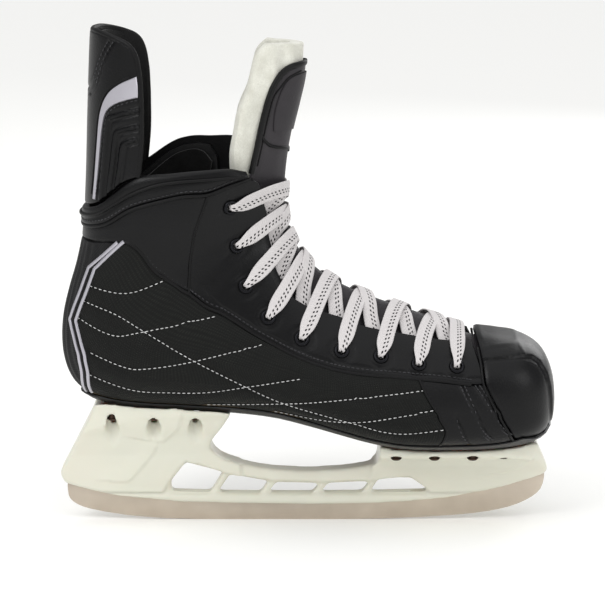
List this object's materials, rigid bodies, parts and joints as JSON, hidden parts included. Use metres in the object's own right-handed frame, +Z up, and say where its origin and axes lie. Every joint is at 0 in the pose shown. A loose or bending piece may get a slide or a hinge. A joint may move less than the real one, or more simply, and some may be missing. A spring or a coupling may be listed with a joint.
{
  "type": "ice hockey skate",
  "caption": "Ice hockey skate: laced black stitched boot with felt tongue and tendon guard on a pale plastic holder with a steel runner.",
  "frame": {"origin": "on the ice under the flat of the runner, midway across the runner", "axes": "+X towards the toe, +Y towards the wearer's left (medial side of this right skate), +Z up"},
  "size_m": [0.2864, 0.0969, 0.2878],
  "materials": {
    "black_cap": "smooth moulded plastic",
    "black_leather": "smooth synthetic leather",
    "ballistic_fabric": "woven nylon with light quilt stitching",
    "ribbed_counter": "fine vertical ribs",
    "silver_trim": "satin silver film",
    "dark_piping": "moulded cord",
    "shell_plastic": "stiff lasted liner",
    "lining_fabric": "brushed lining",
    "board": "fibre board",
    "outsole_plastic": "moulded",
    "footbed_foam": "fabric on foam",
    "eyelet_metal": "black enamel",
    "tongue_vinyl": "grained vinyl",
    "felt": "pressed wool felt",
    "guard_vinyl": "embossed vinyl on plastic",
    "holder_plastic": "satin moulded nylon",
    "rivet_copper": "copper plated",
    "runner_steel": "brushed lengthways",
    "bolt_steel": "zinc plated",
    "lace_cotton": "flat woven, black ticks",
    "aglet_plastic": "clear film"
  },
  "bodies": {
    "boot": {"toe_cap": "black_cap", "vamp_lateral": "black_leather", "vamp_medial": "black_leather", "quarter_lateral": "ballistic_fabric", "quarter_medial": "ballistic_fabric", "ankle_lateral": "black_leather", "ankle_medial": "black_leather", "facing_lateral": "black_leather", "facing_medial": "black_leather", "collar_band": "black_leather", "heel_counter": "ribbed_counter", "heel_piping": "silver_trim", "collar_piping": "dark_piping", "lasted_shell": "shell_plastic", "ankle_padding": "lining_fabric", "toe_cushion": "lining_fabric", "insole_board": "board", "outsole": "outsole_plastic", "footbed": "footbed_foam", "eyelets": "eyelet_metal", "tongue_face_lower": "tongue_vinyl", "tongue_felt_lower": "felt", "blade_holder": "holder_plastic", "rivets": "rivet_copper", "runner": "runner_steel", "runner_bolts": "bolt_steel", "bolt_washers": "bolt_steel", "runner_nuts": "bolt_steel", "lace": "lace_cotton", "aglets": "aglet_plastic"},
    "tongue_top": {"tongue_face_upper": "tongue_vinyl", "tongue_felt_upper": "felt", "tongue_patch": "tongue_vinyl"},
    "guard": {"tendon_guard": "guard_vinyl", "guard_lining": "lining_fabric", "guard_trim": "silver_trim"}
  },
  "joints": [
    {"name": "tongue_fold", "type": "hinge", "parent": "boot", "child": "tongue_top", "pos_m": [-0.0095, 0, 0.2135], "axis": [0, 1, 0], "range_deg": [0, 50], "stiffness_Nm_per_rad": 0.05},
    {"name": "tendon_guard_flex", "type": "hinge", "parent": "boot", "child": "guard", "pos_m": [-0.1265, 0, 0.1885], "axis": [0, -1, 0], "range_deg": [0, 20], "stiffness_Nm_per_rad": 2}
  ]
}
